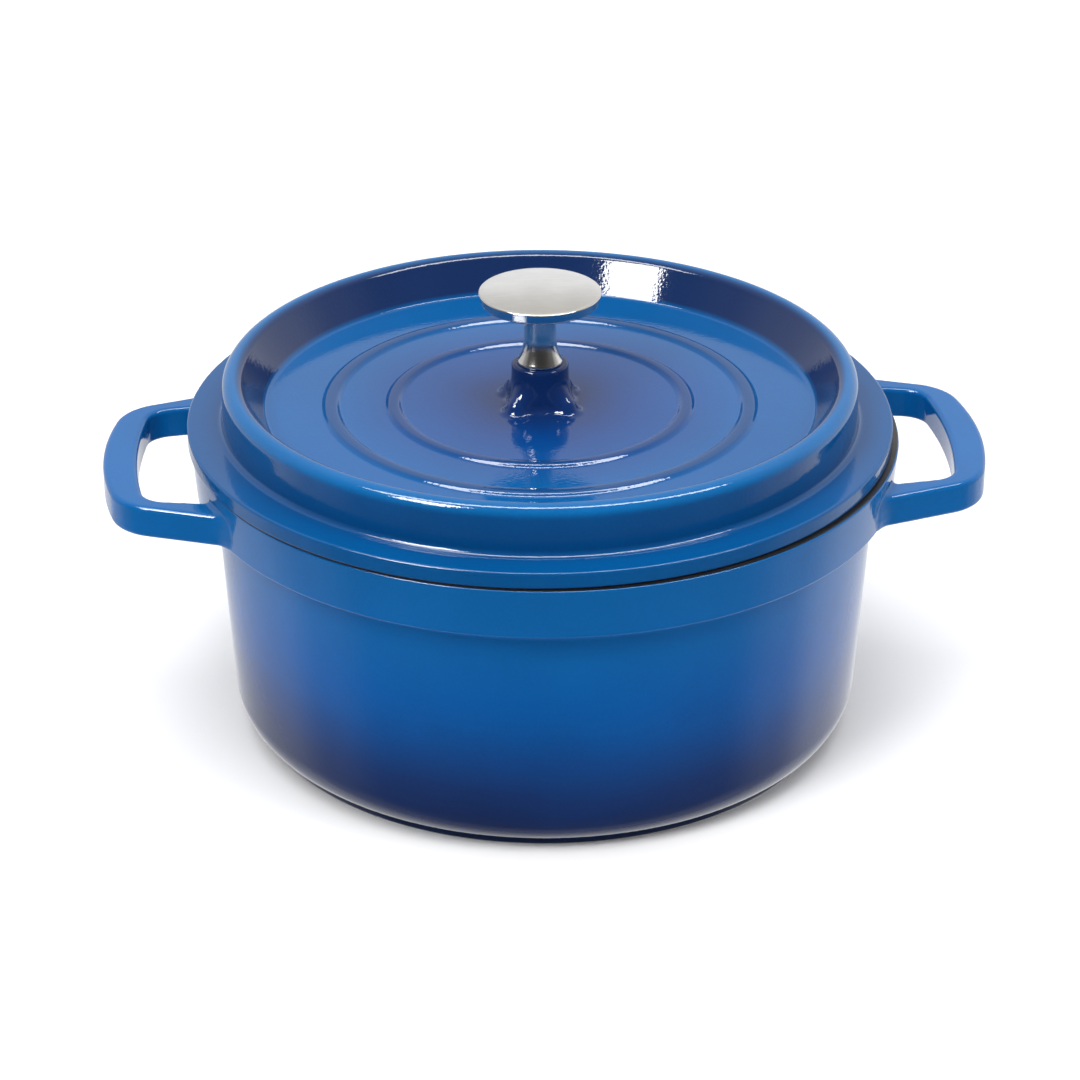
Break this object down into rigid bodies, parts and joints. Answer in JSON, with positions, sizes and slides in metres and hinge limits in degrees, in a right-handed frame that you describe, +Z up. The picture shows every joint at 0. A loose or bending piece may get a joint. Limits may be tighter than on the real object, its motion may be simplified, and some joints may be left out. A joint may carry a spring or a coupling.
{
  "type": "dutch oven",
  "caption": "Round deep cooking pot with loop handles at its rim and a stepped lid that lifts off by a steel mushroom knob, for slow cooking.",
  "frame": {"origin": "centre of the base, on the table", "axes": "+X through the right handle, +Y away from the front, +Z up along the pot's axis"},
  "size_m": [0.3264, 0.2612, 0.1691],
  "materials": {
    "blue_enamelled_iron": "cast iron under gloss blue enamel that darkens to navy at the base and round the knob",
    "black_enamel": "matt black enamel",
    "brushed_steel": "satin stainless steel",
    "polished_steel": "turned and polished stainless steel",
    "plated_steel": "stainless fastener"
  },
  "bodies": {
    "pot": {"pot_casting": "blue_enamelled_iron", "handle_left": "blue_enamelled_iron", "handle_right": "blue_enamelled_iron", "pot_enamel_inside": "black_enamel"},
    "lid": {"lid_casting": "blue_enamelled_iron", "lid_enamel_underside": "black_enamel", "knob_disc": "brushed_steel", "knob_stem": "polished_steel", "knob_screw": "plated_steel", "spring_washer": "plated_steel", "flat_washer": "plated_steel"}
  },
  "joints": [
    {"name": "lid_lift", "type": "slide", "parent": "pot", "child": "lid", "axis": [0, 0, 1], "range_m": [0, 0.15]}
  ]
}
